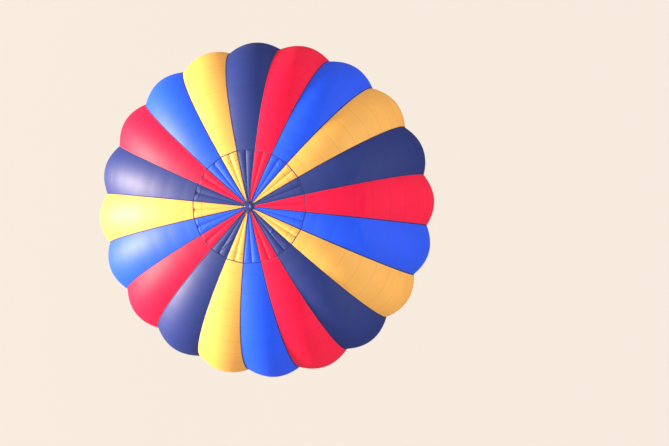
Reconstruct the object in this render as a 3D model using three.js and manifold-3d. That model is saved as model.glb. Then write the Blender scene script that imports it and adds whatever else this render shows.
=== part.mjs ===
// Hot air balloon in flight: a lobed envelope of twenty gores with a parachute vent, a skirt,
// flying wires, a twin burner on a gimbal, and a wicker basket with its gas cylinders.
// Millimetres, +Z up. The origin is the middle of the envelope's widest level.
import * as THREE from 'three';
import { mergeVertices } from 'three/addons/utils/BufferGeometryUtils.js';
import Module from 'manifold-3d';

const wasm = await Module();
wasm.setup();

const DEGREE = Math.PI / 180;
const GAP = 0.3;                      // between solids that touch
const WELD = 1e-3;                    // points nearer than this are one point
const SIDES = { wire: 6, tube: 10, post: 12, bore: 16, round: 24 };

// Envelope
const EQUATOR_R = 8600;               // the load tapes' radius at the widest level
const GORES = 20;
const HALF_GORE = Math.PI / GORES;    // half the angle that a gore takes
const SHELL = 10;                     // thickness of the envelope, vent and skirt
const PRESSURE_SPAN = 1.85;           // shape number: crown's height over the level with no pressure
const MOUTH_R = 1850;
const VENT_ARC = 0.317 * EQUATOR_R;   // along a tape, from the crown to the rim of the vent
const LOBE = 0.178;                   // how far a gore bulges, as a share of its width
const LOBE_RISE = 0.7;                // how soon the bulge grows away from the crown
const GORE_ROWS = 14;
const GORE_COLS = 4;

// Load tapes, and the hoops at the vent's rim and at the mouth
const TAPE_WIDTH = 50;
const TAPE_DEPTH = 20;
const TAPE_LIFT = 1;                  // over the seam between two gores
const TAPE_LAP = 15;                  // under the loops at the crown ring
const TAPE_TAIL = 100;                // how far its line goes on below the mouth
const ROWS_OVER_VENT = 3;
const HOOP_WIDTH = 50;
const HOOP_LIFT = 4;                  // the hoop's outer face over the skin
const HOOP_DROP = 6;                  // its inner face under the skin
const CROWN_LOOPS = { inner: 160, outer: 215, low: 1, high: 20 };
const CROWN_RING = { inner: 118, outer: 160, low: -6, high: 26 };

// Parachute vent
const VENT_OVERLAP = 300;             // how far its edge reaches under the gores
const VENT_DROP = 16;                 // its outer face under the skin
const VENT_ROWS = 6;                  // out to the rim

// Skirt
const SKIRT_HEIGHT = 1300;
const SKIRT_FOOT_R = 1150;
const SKIRT_LAP = 60;                 // how far it reaches up inside the mouth
const SKIRT_WAIST = 75;               // below the mouth, where its own cone starts

// Burner frame, flying wires and uprights
const FRAME_DROP = 2600;              // from the mouth to the frame
const FRAME_X = 640;                  // half distances between the corners
const FRAME_Y = 490;
const FRAME_TUBE_R = 19;
const CORNER = 84;                    // side of a corner block
const LUG = { width: 64, height: 62, thick: 10, hole: 15, holeUp: 4, sunk: 1 };
const LINK = { ring: 34, wire: 7, sides: 5 };
const WIRE_R = 5;
const WIRES_PER_CORNER = 5;
const UPRIGHT_R = 25;

// Burner and its gimbal
const GIMBAL_R = 400;
const GIMBAL_TUBE_R = 12;
const PIVOT_R = 12;
const PIVOT_PLAY = 1;
const PIN_INSET = 4;                  // from a pivot block's outer face to the end of its pin
const PIVOT_BLOCK = { across: 56, along: 40 };
const BEAM = { half: 334, width: 44, height: 56 };
const BURNER_X = 165;                 // from the middle to each burner
const BURNER_DISH = { r: 146, low: 44, high: 66 };
const BURNER_STEM_R = 48;
const INLET = { r: 13, length: 90 };
const COIL = { r: 138, wall: 14, height: 320 };
const JET_RING = { r: 54, wire: 9, lift: 30, sides: 5, turns: 14 };

// Basket and what it holds
const BASKET_DROP = 1050;             // from the frame to the basket's rim
const BASKET_X = 750;                 // half sizes outside
const BASKET_Y = 600;
const BASKET_HEIGHT = 1100;
const BASKET_WALL = 30;
const BASKET_CORNER = 150;
const CORNER_STEPS = 5;
const RIM_R = 32;
const RIM_SIDES = 8;
const BAND = { height: 150, thick: 9 };
const FLOOR_THICK = 20;
const SKID = { width: 90, height: 50, inset: 60, y: 380 };
const SOCKET = { r: 44, depth: 170, bottom: 22, play: 3 };
const STEP_HOLE = { width: 190, height: 120, up: 330 };

// Gas cylinders, and the outline of one from its foot to its neck: [radius, height over the floor]
const CYLINDER = { x: 563, y: 413, shoulder: 780, neck: 806 };
const CYLINDER_OUTLINE = [
  [0, 30], [106, 30], [112, 0], [124, 0],         // the foot ring round the raised bottom
  [140, 78], [140, 700],                          // the barrel
  [104, CYLINDER.shoulder], [88, CYLINDER.shoulder],
  [30, CYLINDER.neck], [0, CYLINDER.neck],
];
const VALVE = { foot: 30, head: 24, top: 856 };
const GUARD = { inner: 92, outer: 100, top: 872 };

// Colours of the gores, in turn round the envelope
const CLOTHS = { red: 0xd0102c, navy: 0x16234a, yellow: 0xf5b01e, blue: 0x0f4bd8 };

// Solids

function toGeometry(points, triangles) {
  const geometry = new THREE.BufferGeometry();
  const flat = points.flatMap((p) => [p.x, p.y, p.z]);
  geometry.setAttribute('position', new THREE.Float32BufferAttribute(flat, 3));
  geometry.setIndex(triangles.flat());
  return geometry;
}

// Shared vertices merged, flat triangles dropped and all faces pointing out.
function closed(source) {
  const bare = source.clone();
  bare.deleteAttribute('normal');
  bare.deleteAttribute('uv');
  const merged = mergeVertices(bare, WELD);
  const place = merged.getAttribute('position');
  const corner = (i) => new THREE.Vector3().fromBufferAttribute(place, i);
  const index = Array.from(merged.getIndex().array);
  const triangles = [];
  let volume = 0;
  for (let i = 0; i < index.length; i += 3) {
    const [a, b, c] = index.slice(i, i + 3);
    if (a === b || b === c || a === c) continue;
    triangles.push([a, b, c]);
    volume += corner(a).dot(corner(b).cross(corner(c)));
  }
  merged.setIndex((volume < 0 ? triangles.map((t) => t.reverse()) : triangles).flat());
  return merged;
}

function toManifold(geometry) {
  const tidy = closed(geometry);
  return new wasm.Manifold(new wasm.Mesh({
    numProp: 3,
    vertProperties: new Float32Array(tidy.getAttribute('position').array),
    triVerts: new Uint32Array(tidy.getIndex().array),
  }));
}

function fromManifold(body) {
  const mesh = body.getMesh();
  const geometry = new THREE.BufferGeometry();
  geometry.setAttribute('position', new THREE.BufferAttribute(mesh.vertProperties, 3));
  geometry.setIndex(Array.from(mesh.triVerts));
  return geometry;
}

function fuse(pieces) {
  return fromManifold(pieces.map(toManifold).reduce((whole, piece) => whole.add(piece)));
}

function cut(base, tools) {
  return fromManifold(tools.map(toManifold).reduce((rest, tool) => rest.subtract(tool), toManifold(base)));
}

// A solid through sections of equally many points. A ring joins its last section to its first.
function loft(sections, isRing = false) {
  const sides = sections[0].length;
  const triangles = [];
  const spans = isRing ? sections.length : sections.length - 1;
  for (let i = 0; i < spans; i += 1) {
    const here = i * sides;
    const next = ((i + 1) % sections.length) * sides;
    for (let j = 0; j < sides; j += 1) {
      const k = (j + 1) % sides;
      triangles.push([here + j, here + k, next + k], [here + j, next + k, next + j]);
    }
  }
  const last = (sections.length - 1) * sides;
  for (let j = 1; !isRing && j < sides - 1; j += 1) {
    triangles.push([0, j + 1, j], [last, last + j, last + j + 1]);
  }
  return closed(toGeometry(sections.flat(), triangles));
}

function box(x, y, z, width, depth, height) {
  return new THREE.BoxGeometry(width, depth, height).translate(x, y, z);
}

function rod(start, end, radius, sides) {
  const along = end.clone().sub(start);
  const turn = new THREE.Quaternion().setFromUnitVectors(
    new THREE.Vector3(0, 1, 0),
    along.clone().normalize(),
  );
  return new THREE.CylinderGeometry(radius, radius, along.length(), sides)
    .applyQuaternion(turn)
    .translate(...start.clone().add(end).multiplyScalar(0.5).toArray());
}

function post(x, y, low, high, radius, sides = SIDES.post) {
  return rod(new THREE.Vector3(x, y, low), new THREE.Vector3(x, y, high), radius, sides);
}

// A profile of [radius, height] pairs turned about Z, with its corners at the load tapes' angles.
function turned(profile, sides, firstAngle = HALF_GORE) {
  const points = profile.map(([r, z]) => new THREE.Vector2(r, z));
  return closed(new THREE.LatheGeometry(points, sides, firstAngle).rotateX(90 * DEGREE));
}

function ringSection(inner, outer, low, high) {
  return [[inner, low], [outer, low], [outer, high], [inner, high], [inner, low]];
}

// A rounded rectangle about Z: places with the way out from each.
function roundedPath(halfX, halfY, radius) {
  const path = [];
  for (const [sx, sy, start] of [[1, 1, 0], [-1, 1, 90], [-1, -1, 180], [1, -1, 270]]) {
    for (let i = 0; i <= CORNER_STEPS; i += 1) {
      const angle = (start + 90 * i / CORNER_STEPS) * DEGREE;
      const out = new THREE.Vector3(Math.cos(angle), Math.sin(angle), 0);
      const center = new THREE.Vector3(sx * (halfX - radius), sy * (halfY - radius), 0);
      path.push({ place: center.addScaledVector(out, radius), out });
    }
  }
  return path;
}

// A profile of [outwards, up] pairs swept round such a path.
function sweptRound(path, profile) {
  const sections = path.map(({ place, out }) => profile.map(([outwards, up]) => (
    place.clone().addScaledVector(out, outwards).setZ(up)
  )));
  return loft(sections, true);
}

// The envelope's form

// A load tape with no hoop stress: its curvature grows with its radius and with the pressure.
function tapeCurve() {
  const step = 0.004;
  let [r, z, t] = [0, PRESSURE_SPAN, 0];
  const raw = [{ r, z, t }];
  while (z > 0) {
    const middle = { r: r + Math.cos(t) * step / 2, z: z - Math.sin(t) * step / 2 };
    const turn = t + r * z * step / 2;
    r += Math.cos(turn) * step;
    z -= Math.sin(turn) * step;
    t += middle.r * middle.z * step;
    raw.push({ r, z, t });
  }
  const widest = raw.reduce((best, p) => (p.r > best.r ? p : best));
  const scale = EQUATOR_R / widest.r;
  const curve = raw.map((p, i) => (
    { s: i * step * scale, r: p.r * scale, z: (p.z - widest.z) * scale, t: p.t }
  ));
  const foot = curve[curve.length - 1];
  const rest = (foot.r - MOUTH_R) / -Math.cos(foot.t);      // a straight cone down to the mouth
  for (const length of [rest, rest + TAPE_TAIL]) {
    curve.push({
      s: foot.s + length,
      r: foot.r + length * Math.cos(foot.t),
      z: foot.z - length * Math.sin(foot.t),
      t: foot.t,
    });
  }
  return curve;
}

const CURVE = tapeCurve();
const MOUTH = CURVE[CURVE.length - 2];

function onTape(s) {
  const next = Math.max(1, CURVE.findIndex((p) => p.s >= s));
  const [a, b] = [CURVE[next - 1], CURVE[next]];
  const share = (s - a.s) / (b.s - a.s);
  const mix = (key) => a[key] + (b[key] - a[key]) * share;
  return { r: mix('r'), z: mix('z'), t: mix('t') };
}

// Radius and height of a point that lies depth inside the tape's line.
function inside(s, depth) {
  const tape = onTape(s);
  return [tape.r - depth * Math.sin(tape.t), tape.z - depth * Math.cos(tape.t)];
}

function bulge(tape) {
  const rise = Math.sin(Math.min(tape.t, 90 * DEGREE)) ** LOBE_RISE;
  const fade = tape.z > 0 ? 1 : Math.max(0, 1 - tape.z / MOUTH.z);
  return LOBE * 2 * tape.r * Math.sin(HALF_GORE) * rise * fade;
}

// A point of the gore whose middle is on +X. u runs from -1 to 1 between its two tapes.
function skin(s, u, depth) {
  const tape = onTape(s);
  const [r, z] = inside(s, depth);
  const push = bulge(tape) * (1 - u * u);
  return new THREE.Vector3(
    r * Math.cos(HALF_GORE) + push * Math.sin(tape.t),
    u * (r * Math.sin(HALF_GORE) - GAP / 2),
    z + push * Math.cos(tape.t),
  );
}

function acrossGore() {
  return Array.from({ length: GORE_COLS + 1 }, (_, j) => -1 + 2 * j / GORE_COLS);
}

// Places down a tape: the vent's rim, the edge of the parachute under it, then even steps.
function downGore() {
  const edge = VENT_ARC + VENT_OVERLAP;
  const steps = Array.from({ length: GORE_ROWS }, (_, i) => edge + (MOUTH.s - edge) * i / (GORE_ROWS - 1));
  return [VENT_ARC, ...steps];
}

function goreShell() {
  const across = acrossGore();
  const rows = downGore();
  const wide = across.length;
  const faces = [0, SHELL].map((depth) => rows.flatMap((s) => across.map((u) => skin(s, u, depth))));
  const inner = rows.length * wide;
  const triangles = [];
  const quad = (a, b, c, d) => triangles.push([a, b, c], [a, c, d]);
  for (let i = 0; i < GORE_ROWS; i += 1) {
    for (let j = 0; j < GORE_COLS; j += 1) {
      const a = i * wide + j;
      quad(a, a + wide, a + wide + 1, a + 1);
      quad(inner + a, inner + a + 1, inner + a + wide + 1, inner + a + wide);
    }
    const left = i * wide;
    const right = left + GORE_COLS;
    quad(left, inner + left, inner + left + wide, left + wide);
    quad(right, right + wide, inner + right + wide, inner + right);
  }
  const foot = GORE_ROWS * wide;
  for (let j = 0; j < GORE_COLS; j += 1) {
    quad(j, j + 1, inner + j + 1, inner + j);
    quad(foot + j, inner + foot + j, inner + foot + j + 1, foot + j + 1);
  }
  return closed(toGeometry(faces.flat(), triangles));
}

function hoop(start, end) {
  const sections = [];
  for (let g = 0; g < GORES; g += 1) {
    for (const u of acrossGore().slice(0, -1)) {
      const corners = [
        skin(start, u, -HOOP_LIFT),
        skin(end, u, -HOOP_LIFT),
        skin(end, u, HOOP_DROP),
        skin(start, u, HOOP_DROP),
      ];
      sections.push(corners.map((p) => p.applyAxisAngle(new THREE.Vector3(0, 0, 1), 2 * HALF_GORE * g)));
    }
  }
  return loft(sections, true);
}

// One load tape in the valley between two gores, three-sided so that it fits the valley.
function tape(angle) {
  const start = CROWN_LOOPS.outer - TAPE_LAP;
  const pitch = (VENT_ARC - start) / ROWS_OVER_VENT;
  const open = Array.from({ length: ROWS_OVER_VENT }, (_, i) => start + pitch * i);
  const sections = [...open, ...downGore(), MOUTH.s + HOOP_WIDTH].map((s) => {
    const [rLow, zLow] = inside(s, -TAPE_LIFT);
    const [rHigh, zHigh] = inside(s, -TAPE_LIFT - TAPE_DEPTH);
    return [
      new THREE.Vector3(rLow, 0, zLow),
      new THREE.Vector3(rHigh, TAPE_WIDTH / 2, zHigh),
      new THREE.Vector3(rHigh, -TAPE_WIDTH / 2, zHigh),
    ];
  });
  return loft(sections).rotateZ(angle);
}

function tapeAngle(index) {
  return HALF_GORE * (2 * index + 1);
}

function loadTapes() {
  const top = CURVE[0].z;
  const loops = ringSection(
    CROWN_LOOPS.inner + GAP,
    CROWN_LOOPS.outer,
    top + CROWN_LOOPS.low,
    top + CROWN_LOOPS.high,
  );
  const pieces = [
    turned(loops, GORES),
    hoop(VENT_ARC - HOOP_WIDTH, VENT_ARC - GAP),
    hoop(MOUTH.s + GAP, MOUTH.s + HOOP_WIDTH),
  ];
  for (let i = 0; i < GORES; i += 1) pieces.push(tape(tapeAngle(i)));
  return fuse(pieces);
}

function crownRing() {
  const { inner, outer, low, high } = CROWN_RING;
  return turned(ringSection(inner, outer, CURVE[0].z + low, CURVE[0].z + high), GORES);
}

function parachute() {
  const stations = Array.from({ length: VENT_ROWS + 1 }, (_, i) => VENT_ARC * i / VENT_ROWS);
  stations.push(VENT_ARC + VENT_OVERLAP);
  const outer = stations.map((s) => inside(s, VENT_DROP));
  const under = stations.toReversed().map((s) => inside(s, VENT_DROP + SHELL));
  return turned([...outer, ...under], GORES);
}

function skirt() {
  const depth = SHELL + GAP;
  const upper = inside(MOUTH.s - SKIRT_LAP, depth);
  const waist = inside(MOUTH.s + SKIRT_WAIST, depth);
  const foot = [SKIRT_FOOT_R, MOUTH.z - SKIRT_HEIGHT];
  const lining = [foot, waist, upper].map(([r, z]) => [r - SHELL, z]);
  return turned([upper, waist, foot, ...lining, upper], GORES);
}

// Burner frame, wires and uprights

const FRAME_Z = MOUTH.z - FRAME_DROP;
const LUG_Z = FRAME_Z + CORNER / 2 + LUG.height / 2;
const RIM_Z = FRAME_Z - BASKET_DROP;
const BASE_Z = RIM_Z - BASKET_HEIGHT;          // where the wicker stands on the floor
const QUARTERS = [[1, 1], [-1, 1], [-1, -1], [1, -1]];

function onFrameX(x) {
  return new THREE.Vector3(x, 0, FRAME_Z);
}

function onFrameY(y) {
  return new THREE.Vector3(0, y, FRAME_Z);
}

function burnerFrame() {
  const corner = ([sx, sy]) => new THREE.Vector3(sx * FRAME_X, sy * FRAME_Y, FRAME_Z);
  const pieces = [];
  QUARTERS.forEach((quarter, i) => {
    const here = corner(quarter);
    pieces.push(rod(here, corner(QUARTERS[(i + 1) % QUARTERS.length]), FRAME_TUBE_R, SIDES.tube));
    pieces.push(box(here.x, here.y, here.z, CORNER, CORNER, CORNER));
    pieces.push(box(here.x, here.y, LUG_Z, LUG.width, LUG.thick, LUG.height + 2 * LUG.sunk));
  });
  for (const side of [-1, 1]) {
    const y = side * (FRAME_Y - PIVOT_BLOCK.along / 2);
    pieces.push(box(0, y, FRAME_Z, PIVOT_BLOCK.across, PIVOT_BLOCK.along, PIVOT_BLOCK.across));
  }
  const holes = QUARTERS.map((quarter) => {
    const middle = corner(quarter).setZ(LUG_Z + LUG.holeUp);
    const through = new THREE.Vector3(0, LUG.thick, 0);
    return rod(middle.clone().sub(through), middle.clone().add(through), LUG.hole, SIDES.bore);
  });
  const reach = FRAME_Y + CORNER;
  const bore = rod(onFrameY(-reach), onFrameY(reach), PIVOT_R + PIVOT_PLAY, SIDES.bore);
  return cut(fuse(pieces), [...holes, bore]);
}

// The wires from five tapes meet in a link that hangs through its corner's lug.
function flyingWires(quarter) {
  const [sx, sy] = QUARTERS[quarter];
  const center = new THREE.Vector3(sx * FRAME_X, sy * FRAME_Y, LUG_Z + LUG.holeUp + LINK.ring);
  const link = new THREE.TorusGeometry(LINK.ring, LINK.wire, LINK.sides, SIDES.post)
    .rotateY(90 * DEGREE)
    .translate(...center.toArray());
  const foot = center.clone().setZ(center.z + LINK.ring);
  const pieces = [link];
  for (let i = 0; i < WIRES_PER_CORNER; i += 1) {
    const angle = tapeAngle(quarter * WIRES_PER_CORNER + i);
    const [r, z] = inside(MOUTH.s + HOOP_WIDTH + 2 * GAP + WIRE_R, -TAPE_DEPTH / 2);
    const head = new THREE.Vector3(r * Math.cos(angle), r * Math.sin(angle), z);
    pieces.push(rod(foot, head, WIRE_R, SIDES.wire));
  }
  return fuse(pieces);
}

function upright([sx, sy]) {
  const low = RIM_Z - SOCKET.depth + SOCKET.bottom;
  return post(sx * FRAME_X, sy * FRAME_Y, low, FRAME_Z - CORNER / 2 - GAP, UPRIGHT_R);
}

// Burner and gimbal

function gimbalRing() {
  const ring = new THREE.TorusGeometry(GIMBAL_R, GIMBAL_TUBE_R, SIDES.wire, SIDES.round);
  const pieces = [ring.translate(0, 0, FRAME_Z)];
  for (const side of [-1, 1]) {
    const x = side * (GIMBAL_R - PIVOT_BLOCK.along / 2);
    pieces.push(box(x, 0, FRAME_Z, PIVOT_BLOCK.along, PIVOT_BLOCK.across, PIVOT_BLOCK.across));
    pieces.push(rod(onFrameY(side * GIMBAL_R), onFrameY(side * (FRAME_Y - PIN_INSET)), PIVOT_R, SIDES.bore));
  }
  const reach = GIMBAL_R + CORNER;
  const bore = rod(onFrameX(-reach), onFrameX(reach), PIVOT_R + PIVOT_PLAY, SIDES.bore);
  return cut(fuse(pieces), [bore]);
}

function burnerBlock() {
  const pin = GIMBAL_R - PIN_INSET;
  const jetsUp = BURNER_DISH.high + JET_RING.lift;
  const pieces = [
    box(0, 0, FRAME_Z, 2 * BEAM.half, BEAM.width, BEAM.height),
    rod(onFrameX(-pin), onFrameX(pin), PIVOT_R, SIDES.bore),
  ];
  for (const side of [-1, 1]) {
    const x = side * BURNER_X;
    const along = (low, high, radius, sides) => post(x, 0, FRAME_Z + low, FRAME_Z + high, radius, sides);
    pieces.push(along(-BEAM.height, jetsUp, BURNER_STEM_R, SIDES.post));
    pieces.push(along(BURNER_DISH.low, BURNER_DISH.high, BURNER_DISH.r, SIDES.round));
    pieces.push(along(-BEAM.height - INLET.length, 0, INLET.r, SIDES.tube));
    const jets = new THREE.TorusGeometry(JET_RING.r, JET_RING.wire, JET_RING.sides, JET_RING.turns);
    pieces.push(jets.translate(x, 0, FRAME_Z + jetsUp));
  }
  return fuse(pieces);
}

function burnerCoil(side) {
  const low = FRAME_Z + BURNER_DISH.high + GAP;
  return turned(ringSection(COIL.r - COIL.wall, COIL.r, low, low + COIL.height), SIDES.round)
    .translate(side * BURNER_X, 0, 0);
}

// Basket

function basketWicker() {
  const path = roundedPath(BASKET_X, BASKET_Y, BASKET_CORNER);
  const wall = sweptRound(path, [[-BASKET_WALL, BASE_Z], [0, BASE_Z], [0, RIM_Z], [-BASKET_WALL, RIM_Z]]);
  const posts = QUARTERS.flatMap(([sx, sy]) => [0, SOCKET.r].map((shift) => post(
    sx * (FRAME_X + shift),
    sy * (FRAME_Y + shift),
    RIM_Z - SOCKET.depth,
    RIM_Z,
    SOCKET.r,
  )));
  const bores = QUARTERS.map(([sx, sy]) => post(
    sx * FRAME_X,
    sy * FRAME_Y,
    RIM_Z - SOCKET.depth + SOCKET.bottom - GAP,
    RIM_Z + SOCKET.depth,
    UPRIGHT_R + SOCKET.play,
  ));
  const step = box(0, 0, BASE_Z + STEP_HOLE.up, STEP_HOLE.width, 4 * BASKET_Y, STEP_HOLE.height);
  return cut(fuse([wall, ...posts]), [...bores, step]);
}

function basketRim() {
  const inset = BASKET_WALL / 2;
  const path = roundedPath(BASKET_X - inset, BASKET_Y - inset, BASKET_CORNER - inset);
  const profile = Array.from({ length: RIM_SIDES }, (_, i) => {
    const angle = 2 * Math.PI * i / RIM_SIDES;
    return [RIM_R * Math.cos(angle), RIM_Z + GAP + RIM_R * (1 + Math.sin(angle))];
  });
  return sweptRound(path, profile);
}

function scuffBand() {
  const path = roundedPath(BASKET_X, BASKET_Y, BASKET_CORNER);
  const [near, far] = [GAP, GAP + BAND.thick];
  const high = BASE_Z + BAND.height;
  return sweptRound(path, [[near, BASE_Z], [far, BASE_Z], [far, high], [near, high]]);
}

function basketFloor() {
  const path = roundedPath(BASKET_X, BASKET_Y, BASKET_CORNER);
  const levels = [BASE_Z - GAP, BASE_Z - GAP - FLOOR_THICK];
  return loft(levels.map((z) => path.map(({ place }) => place.clone().setZ(z))));
}

function skid(side) {
  const z = BASE_Z - 2 * GAP - FLOOR_THICK - SKID.height / 2;
  return box(0, side * SKID.y, z, 2 * (BASKET_X - SKID.inset), SKID.width, SKID.height);
}

// An outline of [radius, height over the floor], turned and stood in its corner of the basket.
function turnedInCorner(outline, [sx, sy]) {
  return turned(outline.map(([radius, up]) => [radius, BASE_Z + up]), SIDES.bore)
    .translate(sx * CYLINDER.x, sy * CYLINDER.y, 0);
}

function gasCylinder(quarter) {
  return turnedInCorner(CYLINDER_OUTLINE, quarter);
}

function cylinderValve(quarter) {
  const low = CYLINDER.neck + GAP;
  const outline = [[0, low], [VALVE.foot, low], [VALVE.head, VALVE.top], [0, VALVE.top]];
  return turnedInCorner(outline, quarter);
}

// The open ring that stands on a cylinder's shoulder, round its valve.
function cylinderGuard(quarter) {
  const section = ringSection(GUARD.inner, GUARD.outer, CYLINDER.shoulder + GAP, GUARD.top);
  return turnedInCorner(section, quarter);
}

// Assembly

const balloon = new THREE.Group();

const MATERIALS = {
  tape: { color: 0x10131f, roughness: 0.8, metalness: 0 },
  crown: { color: 0x8f949c, roughness: 0.35, metalness: 1 },
  vent: { color: 0x16234a, roughness: 0.75, metalness: 0 },
  skirt: { color: 0x1b2440, roughness: 0.85, metalness: 0 },
  wire: { color: 0xb9bcc0, roughness: 0.3, metalness: 1 },
  frame: { color: 0xc4c7ca, roughness: 0.28, metalness: 1 },
  burner: { color: 0xa9a59e, roughness: 0.35, metalness: 1 },
  padding: { color: 0x2a1c14, roughness: 0.6, metalness: 0 },
  wicker: { color: 0xa5713b, roughness: 0.8, metalness: 0 },
  leather: { color: 0x4a2815, roughness: 0.55, metalness: 0 },
  wood: { color: 0x9b7a4f, roughness: 0.75, metalness: 0 },
  cylinder: { color: 0xb4b8bb, roughness: 0.35, metalness: 1 },
};

function addMesh(name, geometry, finish) {
  const mesh = new THREE.Mesh(geometry, new THREE.MeshStandardMaterial(finish));
  mesh.name = name;
  balloon.add(mesh);
  return mesh;
}

const gore = goreShell();
const colors = Object.values(CLOTHS);
for (let g = 0; g < GORES; g += 1) {
  const finish = { color: colors[g % colors.length], roughness: 0.7, metalness: 0 };
  const mesh = addMesh(`gore_${String(g + 1).padStart(2, '0')}`, gore, finish);
  mesh.rotation.z = 2 * HALF_GORE * g;
}
addMesh('load_tapes', loadTapes(), MATERIALS.tape);
addMesh('crown_ring', crownRing(), MATERIALS.crown);
addMesh('parachute_vent', parachute(), MATERIALS.vent);
addMesh('skirt', skirt(), MATERIALS.skirt);
addMesh('burner_frame', burnerFrame(), MATERIALS.frame);
addMesh('gimbal_ring', gimbalRing(), MATERIALS.frame);
addMesh('burner_block', burnerBlock(), MATERIALS.burner);
addMesh('burner_coil_left', burnerCoil(-1), MATERIALS.burner);
addMesh('burner_coil_right', burnerCoil(1), MATERIALS.burner);
QUARTERS.forEach((quarter, i) => {
  addMesh(`flying_wires_${i + 1}`, flyingWires(i), MATERIALS.wire);
  addMesh(`upright_${i + 1}`, upright(quarter), MATERIALS.padding);
  addMesh(`gas_cylinder_${i + 1}`, gasCylinder(quarter), MATERIALS.cylinder);
  addMesh(`cylinder_valve_${i + 1}`, cylinderValve(quarter), MATERIALS.cylinder);
  addMesh(`cylinder_guard_${i + 1}`, cylinderGuard(quarter), MATERIALS.cylinder);
});
addMesh('basket_wicker', basketWicker(), MATERIALS.wicker);
addMesh('basket_rim', basketRim(), MATERIALS.leather);
addMesh('basket_band', scuffBand(), MATERIALS.leather);
addMesh('basket_floor', basketFloor(), MATERIALS.wood);
addMesh('basket_skid_left', skid(1), MATERIALS.wood);
addMesh('basket_skid_right', skid(-1), MATERIALS.wood);

export default balloon;
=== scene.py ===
# A striped hot air balloon seen from above in flight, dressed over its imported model.
# Metres, in the model's own frame. Angles are radians, but the camera's and the lamps' are degrees.
import random
from math import ceil, cos, pi, radians, sin, sqrt

import bmesh
import bpy
import numpy as np
from mathutils import Matrix, Vector


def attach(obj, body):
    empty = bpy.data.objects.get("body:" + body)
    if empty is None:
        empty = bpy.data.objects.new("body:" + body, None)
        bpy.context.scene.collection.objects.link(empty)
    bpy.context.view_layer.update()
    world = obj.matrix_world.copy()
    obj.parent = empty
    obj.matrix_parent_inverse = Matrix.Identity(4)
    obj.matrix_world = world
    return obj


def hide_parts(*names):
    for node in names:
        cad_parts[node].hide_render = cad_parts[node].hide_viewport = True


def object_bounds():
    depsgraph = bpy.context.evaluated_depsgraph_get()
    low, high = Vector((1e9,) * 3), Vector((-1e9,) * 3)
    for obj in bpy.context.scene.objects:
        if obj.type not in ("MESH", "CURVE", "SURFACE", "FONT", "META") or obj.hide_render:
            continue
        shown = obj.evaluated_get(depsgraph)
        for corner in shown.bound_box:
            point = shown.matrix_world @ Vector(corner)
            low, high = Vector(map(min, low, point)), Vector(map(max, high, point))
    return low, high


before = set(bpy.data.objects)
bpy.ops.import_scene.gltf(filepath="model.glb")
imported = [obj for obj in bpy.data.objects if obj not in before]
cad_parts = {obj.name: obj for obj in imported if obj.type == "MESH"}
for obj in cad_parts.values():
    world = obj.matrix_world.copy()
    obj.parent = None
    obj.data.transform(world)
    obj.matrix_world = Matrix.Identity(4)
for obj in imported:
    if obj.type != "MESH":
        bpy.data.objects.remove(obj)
CAD_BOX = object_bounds()
SCENE = bpy.context.scene
random.seed(7)

# The view: a long way above the crown, looking down and a little towards the left
EYE = (6.75, -1.58, 43.09)
TILT_X, TILT_Y, ROLL = 0.62, 4.27, -3.36
LENS_MM, SENSOR_MM = 43.05, 36
FLOOR_DROP, FLOOR_HALF = 60, 3000
SKY_LOW, SKY_HIGH, SKY_STRENGTH = (0.97, 0.93, 0.87), (0.86, 0.95, 1), 0.68

# The envelope, as in the model
GORES = 20
HALF_GORE = pi / GORES
EQUATOR_R = 8.6
PRESSURE_SPAN = 1.85
MOUTH_R = 1.85
VENT_ARC = 0.317 * EQUATOR_R
VENT_OVERLAP = 0.3
VENT_DROP = 0.016
LOBE, LOBE_RISE = 0.178, 0.7

# Cloth panels between the seams across a gore
PANEL_START = 0.484 * EQUATOR_R
PANEL_PITCH = 0.107 * EQUATOR_R
GORE_COLS, PANEL_ROWS = 24, 7
PANEL_PUFF, PUCKER = 0.008, 0.005

# Vent cloth: a seam across it, its cap, puffs that tuck under the rim, and small folds that it holds
VENT_SEAM = 2.27
VENT_CAP = 0.2
VENT_COLS = 28
PUFF, CREST = 0.048, 0.004
TUCK, VENT_PLAY = 0.16, 0.006
FOLD_HALF = 0.036
# gore, then arc length and share of the half gore where a fold starts and ends, and its height
VENT_FOLDS = [
    (17, 1.45, 0.30, 2.45, 0.10, 0.020),
    (17, 1.66, 0.02, 1.56, 0.92, 0.018),
    (13, 1.62, 0.88, 2.12, 0.20, 0.022),
    (13, 2.00, 0.28, 2.60, -0.10, 0.018),
    (11, 2.54, -0.95, 2.60, 0.90, 0.014),
    (11, 1.95, 0.15, 2.58, 0.75, 0.012),
    (12, 2.54, -0.95, 2.60, 0.20, 0.014),
    (9, 2.45, -0.95, 2.52, 0.95, 0.010),
    (8, 2.36, 0.15, 2.60, 0.90, 0.012),
    (3, 2.34, -0.70, 2.58, 0.10, 0.012),
]

# Load tapes. Their section: share of the half width, and height over the cloth
TAPE_HALF, TAPE_THICK = 0.025, 0.003
TAPE_SECTION = [
    (-1, 0.0005), (-0.96, TAPE_THICK), (-0.5, 0.004), (-0.12, 0.0045),
    (0.12, 0.0045), (0.5, 0.004), (0.96, TAPE_THICK), (1, 0.0005),
]
TAPE_START = 0.215
BAR_TACKS = (0.3, 0.34, 0.38)
HOOP_WIDTH = 0.05
LOOP_HALF = 0.017
# inner and outer radius, then lowest and highest level over the crown
CROWN_RING = (0.118, 0.16, -0.006, 0.026)

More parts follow.
